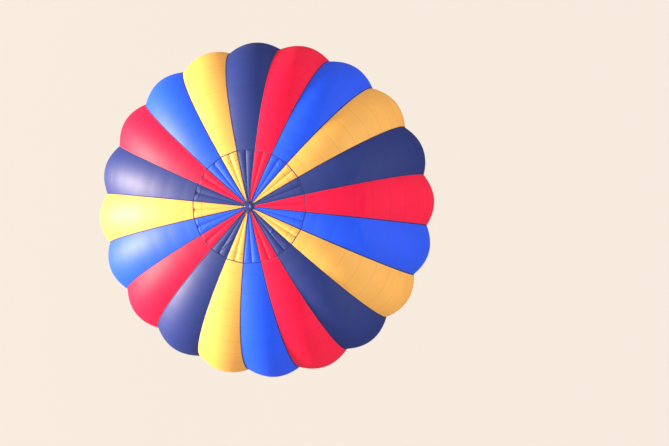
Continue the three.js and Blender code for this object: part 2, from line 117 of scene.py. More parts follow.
# Below the mouth, as in the model
SKIRT_HEIGHT, SKIRT_FOOT_R = 1.3, 1.15
FRAME_DROP = 2.6
FRAME_X, FRAME_Y = 0.64, 0.49
FRAME_R = 0.019
CORNER = 0.084
LINK_R, LINK_WIRE = 0.034, 0.007
LUG_WIDTH, LUG_HEIGHT, LUG_THICK, LUG_HOLE = 0.064, 0.062, 0.01, 0.015
WIRE_R = 0.004
GIMBAL_R, GIMBAL_TUBE_R = 0.4, 0.012
TRUNNION_R, CARRIER = 0.012, 0.056
BURNER_X = 0.165
COIL_R, COIL_TUBE_R, COIL_TURNS, COIL_HEIGHT = 0.1305, 0.0068, 16, 0.306
BASKET_DROP = 1.05
BASKET_X, BASKET_Y, BASKET_HEIGHT = 0.75, 0.6, 1.1
BASKET_CORNER, BASKET_WALL = 0.15, 0.03
RIM_R = 0.032
TANK_X, TANK_Y, TANK_R = 0.563, 0.413, 0.14
GUARD_INSET, GUARD_LOW, GUARD_HIGH = 0.044, 0.778, 0.866
STEP_HALF, STEP_HEIGHT, STEP_UP = 0.095, 0.12, 0.33
SOCKET_DROP = 0.17
STAKES, WEAVER_PITCH = 88, 0.013
SKID_Y, SKID_SIZE = 0.38, (1.38, 0.09, 0.0498)

# Cloths round the envelope: slot, colour in linear light, and shine
CLOTHS = [
    ("cloth_red", (0.93, 0.0005, 0.052), 0.36),
    ("cloth_navy", (0.005, 0.025, 0.205), 0.75),
    ("cloth_yellow", (0.92, 0.48, 0.085), 0.7),
    ("cloth_blue", (0.001, 0.088, 0.95), 0.6),
]
QUARTERS = [(1, 1), (-1, 1), (-1, -1), (1, -1)]
UP = np.array([[0, 0, 1.0]])
SHARP_DEGREES = 38


# Arrays

def stacked(*columns):
    """Points or UV places from columns, which may be numbers or arrays."""
    return np.stack(np.broadcast_arrays(*columns), -1)


def polar(radius, angle, z=0):
    return stacked(radius * np.cos(angle), radius * np.sin(angle), z)


def around(count):
    return np.arange(count) * 2 * pi / count


def unit(ways):
    return ways / np.linalg.norm(ways, axis=-1, keepdims=True)


def run_length(points):
    """Distance along a line at each of its points."""
    return np.r_[0, np.cumsum(np.linalg.norm(np.diff(points, axis=0), axis=1))]


# The envelope's form

def tape_curve():
    """A load tape with no hoop stress, as arrays of arc length, radius, height and slope."""
    step, past_mouth = 0.004, 0.2
    r, z, t = 0, PRESSURE_SPAN, 0
    raw = [(r, z, t)]
    while z > 0:
        middle_r = r + cos(t) * step / 2
        middle_z = z - sin(t) * step / 2
        turn = t + r * z * step / 2
        r += cos(turn) * step
        z -= sin(turn) * step
        t += middle_r * middle_z * step
        raw.append((r, z, t))
    widest = max(raw)
    scale = EQUATOR_R / widest[0]
    points = [(i * step * scale, r * scale, (z - widest[1]) * scale, t) for i, (r, z, t) in enumerate(raw)]
    s, r, z, t = points[-1]
    cone = (r - MOUTH_R) / -cos(t)
    for length in (cone, cone + past_mouth):
        points.append((s + length, r + length * cos(t), z - length * sin(t), t))
    return np.array(points).T


CURVE_S, CURVE_R, CURVE_Z, CURVE_T = tape_curve()
MOUTH_S, MOUTH_Z = CURVE_S[-2], CURVE_Z[-2]
CROWN_Z = CURVE_Z[0]
FRAME_Z = MOUTH_Z - FRAME_DROP
LUG_Z = FRAME_Z + CORNER / 2 + LUG_HEIGHT / 2
RIM_Z = FRAME_Z - BASKET_DROP
BASE_Z = RIM_Z - BASKET_HEIGHT


def on_tape(s, depth=0):
    """Radius, height and slope at arc length s, depth inside the tape's line."""
    t = np.interp(s, CURVE_S, CURVE_T)
    r = np.interp(s, CURVE_S, CURVE_R) - depth * np.sin(t)
    z = np.interp(s, CURVE_S, CURVE_Z) - depth * np.cos(t)
    return r, z, t


def bulge(s):
    r, z, t = on_tape(s)
    rise = np.sin(np.minimum(t, pi / 2)) ** LOBE_RISE
    fade = np.where(z > 0, 1, np.maximum(0, 1 - z / MOUTH_Z))
    return LOBE * 2 * r * sin(HALF_GORE) * rise * fade


def half_width(s):
    return on_tape(s)[0] * sin(HALF_GORE)


def chord(s, u, depth=0, push=0):
    """Points between the two tapes of the gore whose middle is on +X, pushed out along its line."""
    r, z, t = on_tape(s, depth)
    x = r * cos(HALF_GORE) + push * np.sin(t)
    y = u * r * sin(HALF_GORE)
    return stacked(x, y, z + push * np.cos(t))


def skin(s, u, extra=0):
    return chord(s, u, 0, bulge(s) * (1 - u * u) + extra)


# Camera

def new_object(name, data):
    made = bpy.data.objects.new(name, data)
    SCENE.collection.objects.link(made)
    return made


def make_camera():
    data = bpy.data.cameras.new("camera")
    data.lens, data.sensor_width = LENS_MM, SENSOR_MM
    data.clip_start, data.clip_end = 0.5, 400
    camera = new_object("camera", data)
    camera.matrix_world = Matrix.Translation(EYE)
    for angle, axis in ((ROLL, "Z"), (TILT_X, "X"), (TILT_Y, "Y")):
        camera.matrix_world @= Matrix.Rotation(radians(angle), 4, axis)
    SCENE.camera = camera


make_camera()


# Materials

class Shader:
    """The node tree of a material or world, with short ways to add nodes."""

    def __init__(self, name, kind="materials"):
        self.owner = getattr(bpy.data, kind).new(name)
        self.owner.use_nodes = True
        self.tree = self.owner.node_tree
        self.tree.nodes.clear()

    def node(self, kind, inputs=None, **settings):
        """Add a node and give its outputs. An input is a value or another node's output."""
        made = self.tree.nodes.new("ShaderNode" + kind)
        for key, value in settings.items():
            setattr(made, key, value)
        for key, value in (inputs or {}).items():
            slot = made.inputs[key]
            if isinstance(value, bpy.types.NodeSocket):
                self.tree.links.new(value, slot)
            else:
                slot.default_value = (*value, 1) if slot.type == "RGBA" else value
        return made.outputs

    def math(self, operation, *values):
        return self.node("Math", dict(enumerate(values)), operation=operation)[0]

    def times(self, first, second):
        return self.math("MULTIPLY", first, second)

    def plus(self, first, second):
        return self.math("ADD", first, second)

    def place(self):
        return self.node("TexCoord")["Object"]

    def noise(self, scale, detail=3, vector=None):
        inputs = {"Scale": scale, "Detail": detail, "Vector": vector or self.place()}
        return self.node("TexNoise", inputs)[0]

    def uv(self):
        across, along, _ = self.node("SeparateXYZ", {0: self.node("UVMap", uv_map="cut")[0]})
        return across, along

    def mix(self, share, first, second):
        return self.node("Mix", {0: share, 6: first, 7: second}, data_type="RGBA")[2]

    def band(self, value, low, high, start=0, end=1):
        inputs = {"Value": value, "From Min": low, "From Max": high, "To Min": start, "To Max": end}
        return self.node("MapRange", inputs)[0]

    def patches(self, scale, detail, low, high):
        return self.band(self.noise(scale, detail), low, high)

    def lines(self, value, pitch, half_width, soft, start=0):
        """1 on lines at start + n * pitch, falling to 0 over soft."""
        along = self.math("MODULO", self.plus(value, 100 * pitch + pitch / 2 - start), pitch)
        distance = self.math("ABSOLUTE", self.math("SUBTRACT", along, pitch / 2))
        return self.band(distance, half_width, half_width + soft, 1, 0)

    def bump(self, height, strength=0.4):
        return self.node("Bump", {"Height": height, "Strength": strength, "Distance": 1})[0]

    def principled(self, color, **inputs):
        named = {key.replace("_", " "): value for key, value in inputs.items()}
        return self.node("BsdfPrincipled", {"Base Color": color, **named})[0]

    def finish(self, surface, output="OutputMaterial"):
        self.node(output, {"Surface": surface})
        return self.owner


def shade(color, factor):
    return tuple(min(1, c * factor) for c in color)


def cloth(name, color, seam_start, seam_pitch, shine=0.4, through=0.28, seam_dark=0.28,
          centre_seam=False, rough=0.6):
    """Coated ripstop cloth that lets light through, with sewn seams across it."""
    s = Shader(name)
    across, along = s.uv()
    ripstop = s.math("MAXIMUM", *[s.lines(way, 0.006, 0.0004, 0.0006) for way in (across, along)])
    seam = s.lines(along, seam_pitch, 0.01, 0.008, seam_start)
    stitch = s.lines(along, seam_pitch, 0.0012, 0.001, seam_start + 0.006)
    if centre_seam:
        seam = s.math("MAXIMUM", seam, s.band(s.math("ABSOLUTE", across), 0.006, 0.012, 1, 0))
    tone = s.mix(s.patches(0.7, 4, 0.3, 0.7), shade(color, 0.95), shade(color, 1.03))
    tone = s.mix(s.times(seam, seam_dark), tone, shade(color, 0.4))
    raised = s.math("SUBTRACT", s.times(seam, 0.0012), s.times(stitch, 0.0008))
    ripple = s.times(s.noise(2.4, 2), 0.004)
    normal = s.bump(s.plus(s.plus(s.times(ripstop, 0.0002), raised), ripple))
    front = s.principled(tone, Roughness=rough, Normal=normal, Specular_IOR_Level=shine)
    back = s.node("BsdfTranslucent", {"Color": tone, "Normal": normal})[0]
    return s.finish(s.node("MixShader", {0: through, 1: front, 2: back})[0])


def webbing(name, color):
    """Woven webbing with ribs along it and a stitch line near each edge."""
    s = Shader(name)
    across, along = s.uv()
    rib = s.lines(across, 0.004, 0.0008, 0.001)
    pick = s.lines(along, 0.003, 0.0006, 0.0008)
    dash = s.lines(along, 0.008, 0.0025, 0.0005)
    edge = s.times(s.lines(across, 0.04, 0.0006, 0.0004, 0.02), dash)
    tone = s.mix(s.times(s.patches(6, 3, 0.4, 0.8), 0.4), color, shade(color, 2.2))
    tone = s.mix(s.times(edge, 0.6), tone, (0.12, 0.13, 0.17))
    normal = s.bump(s.times(s.math("MAXIMUM", rib, pick), 0.0006), 0.6)
    return s.finish(s.principled(tone, Roughness=0.75, Normal=normal, Specular_IOR_Level=0.25))


def metal(name, color, rough, scale=(6, 6, 60)):
    """Satin metal with fine draw lines and a little staining."""
    s = Shader(name)
    streak = s.noise(9, 6, s.node("Mapping", {"Vector": s.place(), "Scale": scale})[0])
    tone = s.mix(s.patches(14, 5, 0.35, 0.75), shade(color, 0.78), color)
    roughness = s.band(streak, 0.3, 0.7, rough - 0.07, rough + 0.1)
    normal = s.bump(s.times(streak, 0.0004), 0.3)
    return s.finish(s.principled(tone, Metallic=1, Roughness=roughness, Normal=normal))


def heated_metal(name, color, low, high):
    """Stainless steel with straw and blue tints that grow with height."""
    s = Shader(name)
    height = s.node("SeparateXYZ", {0: s.place()})[2]
    heat = s.band(s.plus(height, s.times(s.noise(22), 0.12)), low, high)
    straw = s.mix(s.band(heat, 0.1, 0.5), color, (0.5, 0.33, 0.15))
    tone = s.mix(s.band(heat, 0.55, 0.95), straw, (0.13, 0.14, 0.24))
    roughness = s.band(s.noise(40), 0.3, 0.7, 0.24, 0.42)
    return s.finish(s.principled(tone, Metallic=1, Roughness=roughness))


def leather(name, color):
    s = Shader(name)
    grain = s.node("TexVoronoi", {"Scale": 260, "Vector": s.place()})["Distance"]
    worn = s.patches(11, 5, 0.42, 0.72)
    height = s.plus(s.times(grain, 0.0006), s.times(s.noise(30), 0.001))
    roughness = s.band(worn, 0, 1, 0.62, 0.42)
    tone = s.mix(worn, color, shade(color, 2.1))
    return s.finish(s.principled(tone, Roughness=roughness, Normal=s.bump(height, 0.5)))


def cane(name, pale, dark):
    """Varnished cane: each strand has a tone of its own, with fibres along it."""
    s = Shader(name)
    tone_of, along = s.uv()
    fibre_place = s.node("CombineXYZ", {0: s.times(tone_of, 37), 1: s.times(along, 3)})[0]
    fibre = s.noise(14, 6, fibre_place)
    tone = s.mix(s.band(s.plus(s.times(tone_of, 0.7), s.times(fibre, 0.5)), 0.2, 1), dark, pale)
    tone = s.mix(s.times(s.patches(160, 3, 0.62, 0.7), 0.35), tone, shade(dark, 0.5))
    normal = s.bump(s.times(s.noise(220, 2), 0.0006), 0.4)
    return s.finish(s.principled(tone, Roughness=0.36, Normal=normal, Coat_Weight=0.25))


def wood(name, pale, dark, scale):
    s = Shader(name)
    stretched = s.node("Mapping", {"Vector": s.place(), "Scale": scale})[0]
    grain = s.noise(7, 8, stretched)
    rings = s.node("TexWave", {"Scale": 3, "Distortion": 6, "Detail": 3, "Vector": stretched})["Fac"]
    tone = s.mix(s.times(s.plus(grain, rings), 0.5), dark, pale)
    return s.finish(s.principled(tone, Roughness=0.48, Normal=s.bump(s.times(grain, 0.0008), 0.4)))


def plain(name, color, rough):
    s = Shader(name)
    tone = s.mix(s.patches(35, 4, 0.3, 0.7), shade(color, 0.8), color)
    normal = s.bump(s.times(s.noise(300), 0.0003), 0.3)
    return s.finish(s.principled(tone, Roughness=rough, Normal=normal))


WEBBING = webbing("webbing", (0.012, 0.021, 0.085))
STRAP = webbing("strap", (0.05, 0.05, 0.055))
THREAD = plain("thread", (0.45, 0.45, 0.48), 0.8)
ALLOY = metal("crown_alloy", (0.56, 0.58, 0.61), 0.45)
STEEL = metal("satin_steel", (0.72, 0.73, 0.74), 0.28)
DARK = metal("dark_steel", (0.33, 0.32, 0.31), 0.42)
WIRE = metal("stranded_steel", (0.66, 0.67, 0.68), 0.3, scale=(30, 30, 500))
BRASS = metal("brass", (0.72, 0.5, 0.2), 0.32)
TINTED = heated_metal("heat_tinted_steel", (0.66, 0.64, 0.6), FRAME_Z + 0.1, FRAME_Z + 0.42)
BLACK = plain("black_grip", (0.03, 0.03, 0.032), 0.55)
SLEEVE_HIDE = leather("sleeve_hide", (0.045, 0.026, 0.017))
HIDE = leather("hide", (0.11, 0.045, 0.018))
LACE = plain("lace", (0.32, 0.2, 0.1), 0.7)
CANE = cane("cane", (0.58, 0.33, 0.12), (0.24, 0.11, 0.035))
PLY = wood("plywood", (0.47, 0.31, 0.15), (0.3, 0.17, 0.07), (1, 6, 6))
ASH = wood("ash", (0.5, 0.36, 0.2), (0.32, 0.2, 0.1), (0.8, 9, 9))
SKIRT_WEAVE = cloth("skirt_weave", (0.022, 0.032, 0.085), 0.4, 0.72, through=0.12, rough=0.75)

# The vent has one seam across it, so the next one is far off
FAR_OFF = 50
# The centre patch is really blue, but its colour is painted lighter than the blue cloth: painted light
# standing in for sun on it inside the crown ring's shade
LIGHTENED_VENT_PATCH = cloth("vent_patch_painted_light", (0.1, 0.22, 0.95), VENT_SEAM, FAR_OFF, 0.7)
GORE_CLOTHS = [cloth(slot, color, PANEL_START, PANEL_PITCH, shine) for slot, color, shine in CLOTHS]
VENT_CLOTHS = [
    cloth(f"vent_{slot}", color, VENT_SEAM, FAR_OFF, shine, seam_dark=0.75, centre_seam=True)
    for slot, color, shine in CLOTHS
]


# Shapes: each is points, faces, and a UV place for each point or None

def grid(points, ring_rows=False, ring_cols=False, cut=None):
    """Quads over an array of rows of points; either way may close on itself."""
    rows, cols = points.shape[:2]
    i, j = np.indices((rows - (not ring_rows), cols - (not ring_cols)))
    below, beside = (i + 1) % rows * cols, (j + 1) % cols
    faces = stacked(i * cols + j, below + j, below + beside, i * cols + beside)
    return points.reshape(-1, 3), faces.reshape(-1, 4).tolist(), cut


def capped(rows, closed, step):
    """A round skin over rows of points, with flat ends unless it closes; step gives their winding."""
    points, faces, _ = grid(rows, closed, True)
    if not closed:
        ends = np.arange(len(points)).reshape(rows.shape[:2])[[0, -1]].tolist()
        faces += [ends[0][::-step], ends[1][::step]]
    return points, faces, None


def swept(path, one, two, radius, sides):
    """Rows of points round a path; one and two are the axes of its section at each place."""
    turn = around(sides)[:, None]
    radius = np.broadcast_to(radius, len(path))[:, None, None]
    return path[:, None] + radius * (one[:, None] * np.cos(turn) + two[:, None] * np.sin(turn))


def tube(path, radius, sides=10, closed=False):
    """A round bar along a path. radius is one number, or one for each place."""
    path = np.asarray(path, float)
    ahead = unit(np.roll(path, -1, 0) - np.roll(path, 1, 0) if closed else np.gradient(path, axis=0))
    ways = [np.cross(ahead[0], (0.31, 0.48, 0.82))]
    for step in ahead:
        ways.append(unit(ways[-1] - step * (ways[-1] @ step)))
    one = np.array(ways[1:])
    return capped(swept(path, one, np.cross(ahead, one), radius, sides), closed, -1)


def lathe(profile, sides=32, closed=False):
    """[radius, height] pairs turned about Z, with flat ends unless the profile closes."""
    r, z = np.asarray(profile, float).T[:, :, None]
    return capped(polar(r, around(sides), z), closed, 1)


def disc(radius, low, high, sides):
    return lathe([(radius, low), (radius, high)], sides)


def belt(near, far, half, sides):
    return lathe([(near, -half), (far, -half), (far, half), (near, half)], sides, True)


def bar(start, end, radius, sides=16):
    return tube(np.linspace(start, end, 2), radius, sides)


def ring(center, radius, wire, steps=32, sides=10, axis="Z"):
    path = np.insert(polar(radius, around(steps))[:, :2], "XYZ".index(axis), 0, axis=1)
    return tube(path + center, wire, sides, True)


def block(center, size, bevel):
    """A box with rounded edges."""
    mesh = bmesh.new()
    bmesh.ops.create_cube(mesh, size=1)
    bmesh.ops.scale(mesh, vec=size, verts=mesh.verts)
    bmesh.ops.bevel(mesh, geom=mesh.edges[:], offset=bevel, segments=2, affect="EDGES", profile=0.6)
    mesh.verts.index_update()
    points = np.array([vert.co for vert in mesh.verts]) + center
    faces = [[vert.index for vert in face.verts] for face in mesh.faces]
    mesh.free()
    return points, faces, None


def rotated(points, turn):
    return points @ np.array(turn).T


def placed(shape, at=(0, 0, 0), turn=np.eye(3)):
    """A shape turned about the origin, then moved."""
    return rotated(shape[0], turn) + at, *shape[1:]


def facing(way):
    """The turn that takes +Z to a way."""
    return Vector(way).to_track_quat("Z", "Y").to_matrix()


def about_z(angle):
    return Matrix.Rotation(angle, 3, "Z")


def gore_turn(index):
    """The turn from +X to a gore's middle, or with half a step more to the tape after it."""
    return about_z(2 * HALF_GORE * index)


def bolt(at, radius, height, way=(0, 0, 1)):
    """A hexagonal head on its washer."""
    head = lathe([(radius, 0.0015), (radius, height), (radius * 0.8, height + 0.001)], 6)
    return [placed(shape, at, facing(way)) for shape in (disc(radius * 1.35, 0, 0.0015, 20), head)]


def weld(center, radius, axis):
    return placed(ring((0, 0, 0), radius, 0.0035, 26, 6), center, facing(axis))


# Pieces

class Parts(list):
    """The shapes of a piece about an origin: points, faces, material and UV places of each."""

    def __init__(self, x=0, y=0, z=0):
        self.origin = np.array([x, y, z])

    def add(self, material, *shapes, at=(0, 0, 0), turn=np.eye(3)):
        for shape in shapes:
            points, faces, cut = placed(shape, self.origin + at, turn)
            places = points[:, [0, 2]] if cut is None else np.reshape(cut, (-1, 2))
            self.append((points, faces, material, places))
        return self


def new_piece(name, parts, replaces=(), body="airframe"):
    points, _, used, places = zip(*parts)
    materials = list(dict.fromkeys(used))
    faces, marks, start = [], [], 0
    for spots, corners, material, _ in parts:
        faces += [[start + corner for corner in face] for face in corners]
        marks += [materials.index(material)] * len(corners)
        start += len(spots)
    mesh = bpy.data.meshes.new(name)
    mesh.from_pydata(np.vstack(points).tolist(), [], faces)
    for material in materials:
        mesh.materials.append(material)
    mesh.polygons.foreach_set("material_index", marks)
    loops = [corner for face in faces for corner in face]
    mesh.uv_layers.new(name="cut").data.foreach_set("uv", np.vstack(places)[loops].ravel())
    mesh.shade_smooth()
    mesh.set_sharp_from_angle(angle=radians(SHARP_DEGREES))
    piece = new_object(name, mesh)
    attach(piece, body)
    if replaces:
        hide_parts(*replaces)
    return piece


# Envelope

def gore_rows():
    """Places down a tape, with even steps between the panel seams."""
    first = ceil((VENT_ARC - PANEL_START) / PANEL_PITCH)
    seams = [PANEL_START + PANEL_PITCH * i for i in range(first, 60)]
    stops = [VENT_ARC - HOOP_WIDTH, *[s for s in seams if VENT_ARC < s < MOUTH_S], MOUTH_S]
    rows = [np.linspace(low, high, PANEL_ROWS, endpoint=False) for low, high in zip(stops, stops[1:])]
    return np.hstack([*rows, MOUTH_S])


def pillow(s, u):
    """How far a panel stands out between its seams and puckers beside the tapes."""
    phase = (s - PANEL_START) / PANEL_PITCH
    between = np.abs(np.sin(pi * phase)) ** 0.8
    pucker = PUCKER * np.sin(2 * pi * 3 * phase) * np.exp(-(1 - np.abs(u)) / 0.1)
    calm = np.clip((s - VENT_ARC) / 0.5, 0, 1)
    return (PANEL_PUFF * (between - 0.6) + pucker) * (1 - u ** 8) * calm


def make_gore(index):
    rows, kind, number = gore_rows(), index % len(CLOTHS), f"{index + 1:02d}"
    s, u = np.meshgrid(rows, np.linspace(-1, 1, GORE_COLS + 1), indexing="ij")
    shape = grid(skin(s, u, pillow(s, u)), cut=stacked(u * half_width(s), s))
    parts = Parts().add(GORE_CLOTHS[kind], shape, turn=gore_turn(index))
    piece = new_piece(f"gore_cloth_{number}", parts, [f"gore_{number}"])


def vent_height(s, u, gore):
    """The vent's puffs between its tapes and centre seams, and the folds that it holds."""
    share = np.clip(on_tape(s)[0] / on_tape(VENT_ARC)[0], 0, 1)
    puff = share * (PUFF * np.abs(np.sin(pi * u)) ** 0.75 + CREST * (1 - np.abs(u)))
    tucked = np.interp(s, [VENT_ARC - TUCK, VENT_ARC - HOOP_WIDTH], [0, 1])
    under_gore = bulge(s) * (1 - u * u) + VENT_DROP - VENT_PLAY
    puff += tucked * (np.minimum(puff, under_gore) - puff)
    for index, s0, u0, s1, u1, rise in VENT_FOLDS:
        if index == gore:
            start = np.array([s0, u0 * half_width(s0)])
            along = np.array([s1, u1 * half_width(s1)]) - start
            place = stacked(s, u * half_width(s)) - start
            share = np.clip(place @ along / (along @ along), 0, 1)
            off = np.linalg.norm(place - share[..., None] * along, axis=-1)
            puff += rise * np.sin(pi * share) * np.exp(-((off / FOLD_HALF) ** 2))
    return puff


def make_vent():
    edge = VENT_ARC + VENT_OVERLAP
    to_rim = np.linspace(VENT_CAP, VENT_ARC, 104, endpoint=False)
    rows = np.r_[0.02, 0.06, 0.1, 0.15, to_rim, np.linspace(VENT_ARC, edge, 8)]
    inner = np.count_nonzero(rows <= VENT_CAP)
    s, u = np.meshgrid(rows, np.linspace(-1, 1, VENT_COLS + 1), indexing="ij")
    cut = stacked(u * half_width(s), s)
    tab_s = VENT_ARC - 0.075
    tab_at = (on_tape(tab_s)[0] * cos(HALF_GORE), 0, on_tape(tab_s, VENT_DROP)[1] + 0.006)
    tab = block(tab_at, (0.05, 0.03, 0.004), 0.0015)
    parts = Parts()
    for gore in range(GORES):
        points, turn = chord(s, u, VENT_DROP, vent_height(s, u, gore)), gore_turn(gore)
        cap, rest = grid(points[:inner], cut=cut[:inner]), grid(points[inner - 1:], cut=cut[inner - 1:])
        # The cap's patch cloth is blue with painted light, lighter than the vent's blue to make up for the
        # ring's shade
        parts.add(LIGHTENED_VENT_PATCH, cap, turn=turn)
        parts.add(VENT_CLOTHS[gore % len(CLOTHS)], rest, turn=turn)
        parts.add(WEBBING, tab, turn=turn)
    cap_z = CROWN_Z - VENT_DROP
    parts.add(LIGHTENED_VENT_PATCH, disc(0.021, cap_z - 0.001, cap_z + 0.001, 20))
    parts.add(STEEL, ring((0, 0, cap_z + 0.01), 0.024, 0.003))
    for layer, angle in enumerate((0, pi / 2)):
        strap = block((0, 0, cap_z + 0.0035 + 0.0025 * layer), (0.15, 0.025, 0.003), 0.001)
        parts.add(WEBBING, strap, turn=about_z(angle))
    piece = new_piece("vent_cloth", parts, ["parachute_vent"], "vent")


def ribbon(middle, way, half, thick=TAPE_THICK):
    """A strip of webbing along middle; way points across it."""
    up = unit(np.cross(np.gradient(middle, axis=0), way))
    half = np.broadcast_to(half, len(middle))[:, None]
    left, right = middle - way * half, middle + way * half
    rows = np.stack([left, left + up * thick, right + up * thick, right], 1)
    cut = stacked(half * np.array([-1, -1, 1, 1]), run_length(middle)[:, None])
    return grid(rows, ring_cols=True, cut=cut)


def envelope_tape(index):
    """One load tape from the crown to the mouth, lying in the valley between two gores."""
    over_vent = np.linspace(TAPE_START, VENT_ARC, 26, endpoint=False)
    rows = np.r_[over_vent, gore_rows()[1:], MOUTH_S + HOOP_WIDTH]
    widen = np.interp(rows, [0.24, 0.32], [1.1, 1])
    columns = []
    for share, lift in TAPE_SECTION:
        side = 1 if share > 0 else -1
        u = -side * (1 - abs(TAPE_HALF * share) * widen / half_width(rows))
        push = np.where(rows < VENT_ARC, 0, bulge(rows) * (1 - u * u))
        columns.append(rotated(chord(rows, u, 0, push + lift), gore_turn(index + (side > 0))))
    offsets = TAPE_HALF * np.array(TAPE_SECTION)[:, 0]
    return grid(np.stack(columns, 1), cut=stacked(offsets, rows[:, None]))


def crown_loop():
    """The end of a tape on +X, round the crown ring and back under itself."""
    inner, outer, low, high = CROWN_RING
    r, z = np.array([
        (TAPE_START + 0.03, TAPE_THICK), (TAPE_START, 0.006), (0.19, 0.016), (outer, high + 0.001),
        (0.139, high + 0.002), (inner, high + 0.001), (inner - 0.004, 0.02), (inner - 0.005, 0.008),
        (inner - 0.003, low), (inner + 0.008, low - 0.004), (0.15, low - 0.004), (0.185, -0.006),
        (TAPE_START + 0.02, -0.003),
    ]).T
    half = np.interp(r, [inner, TAPE_START], [LOOP_HALF, 1.1 * TAPE_HALF])
    return ribbon(stacked(r, 0, CROWN_Z + z), np.array([0, 1, 0]), half, -TAPE_THICK)


def hoop(low, high):
    """Webbing round the envelope between two arc lengths, lying on the cloth."""
    across = [(low, 0.0005), (low + 0.001, 0.0035), (high - 0.001, 0.0035), (high, 0.0005)]
    rows, cut = [], []
    for gore in range(GORES):
        for u in np.linspace(-1, 1, 17)[:-1]:
            section = np.array([skin(s, u, lift) for s, lift in across])
            rows.append(rotated(section, gore_turn(gore)))
            cut.append([(s - (low + high) / 2, (2 * gore + u) * half_width(low)) for s, _ in across])
    return grid(np.array(rows), ring_rows=True, cut=cut)


def make_tapes():
    parts, loop = Parts(), crown_loop()
    for index in range(GORES):
        turn = gore_turn(index + 0.5)
        parts.add(WEBBING, envelope_tape(index))
        parts.add(WEBBING, loop, turn=turn)
        for s in BAR_TACKS:
            r, z, _ = on_tape(s, -0.006)
            parts.add(THREAD, block((r, 0, z), (0.003, 0.04, 0.002), 0.0008), turn=turn)
    parts.add(WEBBING, hoop(VENT_ARC - HOOP_WIDTH, VENT_ARC - HOOP_WIDTH / 5))
    parts.add(WEBBING, hoop(MOUTH_S, MOUTH_S + HOOP_WIDTH))
    new_piece("load_tape_webbing", parts, ["load_tapes"])


def make_crown_ring():
    inner, outer, low, high = CROWN_RING
    ease = 0.006
    left, right, bottom, top = inner + ease, outer - ease, low + ease, high - ease
    profile = []
    for i, (r, z) in enumerate(((right, top), (left, top), (left, bottom), (right, bottom))):
        for angle in np.radians(np.linspace(90 * i, 90 * i + 90, 5)):
            profile.append((r + ease * cos(angle), z + ease * sin(angle)))
    parts = Parts(z=CROWN_Z).add(ALLOY, lathe(profile, 96, True))
    new_piece("crown_ring_turned", parts, ["crown_ring"])


def make_skirt():
    """A short conical skirt with soft gathers that grow towards its foot."""
    top, waist, inset = MOUTH_S - 0.06, MOUTH_S + 0.075, 0.016
    waist_r, waist_z, _ = on_tape(waist, inset)
    foot_r, foot_z = SKIRT_FOOT_R - 0.006, MOUTH_Z - SKIRT_HEIGHT
    upper = on_tape(np.linspace(top, waist, 4, endpoint=False), inset)[:2]
    lower = np.linspace((waist_r, waist_z), (foot_r, foot_z), 34)
    line = np.vstack([stacked(*upper), lower])
    angle = np.linspace(0, 2 * pi, GORES * 16 + 1)
    down = np.clip((waist_z - line[:, 1]) / (waist_z - foot_z), 0, 1)[:, None]
    facet = cos(HALF_GORE) / np.cos((angle + HALF_GORE) % (2 * HALF_GORE) - HALF_GORE)
    facet = 1 + (facet - 1) * (1 - down)
    gathers = 0.5 * np.cos(40 * angle) + 0.3 * np.cos(57 * angle + 1.3)
    gathers = gathers + 0.2 * np.sin(23 * angle + 4 * down)
    radius = line[:, :1] * facet + gathers * (0.002 + 0.016 * down ** 1.5)
    scallop = 0.012 * down ** 6 * (np.cos(GORES * angle) - 1)
    points = polar(radius, angle, line[:, 1:] - scallop * 0.6)
    length = run_length(line)
    cut = stacked(angle * 1.5, length[:, None])
    parts = Parts().add(SKIRT_WEAVE, grid(points[:, :-1], ring_cols=True, cut=cut[:, :-1]))
    section = ((-4, 0.0005), (-4, 0.003), (-1, 0.003), (-1, 0.0005))
    hem = [points[row] + polar(lift, angle) for row, lift in section]
    cut = stacked([-0.02, -0.02, 0.02, 0.02], angle[:-1, None] * 1.15)
    parts.add(WEBBING, grid(np.stack(hem, 1)[:-1], ring_rows=True, cut=cut))
    piece = new_piece("skirt_cloth", parts, ["skirt"])


# Wires, frame and uprights

def eye(center, way):
    """A thimble eye with its ferrule, leaving along a way."""
    loop = ring((0, 0, 0), 0.013, 0.0022, 20, 8, "Y")
    ferrule = lathe([(0.004, 0.013), (0.0075, 0.017), (0.0075, 0.058), (0.0045, 0.063)], 14)
    return [placed(shape, center, facing(way)) for shape in (loop, ferrule)]


def make_wires(number, sx, sy):
    link = np.array([sx * FRAME_X, sy * FRAME_Y, LUG_Z + 0.004 + LINK_R])
    sleeve = lathe([(0.01, -0.022), (0.012, -0.02), (0.012, 0.02), (0.01, 0.022)], 6)
    parts = Parts().add(WIRE, ring(link, LINK_R, LINK_WIRE, 32, 12, "X"))
    parts.add(WIRE, sleeve, at=link + (0, LINK_R * sy, 0))
    r, z, _ = on_tape(MOUTH_S + HOOP_WIDTH + 0.0056, -0.01)
    angles = HALF_GORE * (10 * number + np.arange(-9, 0, 2))
    for rank, head in enumerate(sorted(polar(r, angles, z), key=lambda p: p[1])):
        lean = radians(25 * (rank - 2))
        foot = link + (0, LINK_R * sin(lean), LINK_R * cos(lean))
        way = unit(head - foot)
        low, high = foot + way * 0.012, head - way * 0.018
        parts.add(WIRE, *eye(low, way), *eye(high, -way))
        parts.add(WIRE, bar(low + way * 0.05, high - way * 0.05, WIRE_R, 8))
        out = unit(head * (1, 1, 0))
        tab = [high + way * f + out * 0.004 for f in (-0.012, 0, 0.02, 0.035)]
        parts.add(WEBBING, ribbon(np.array(tab), np.cross((0, 0, 1), out), 0.011))
    new_piece(f"stay_wires_{number}", parts, [f"flying_wires_{number}"])


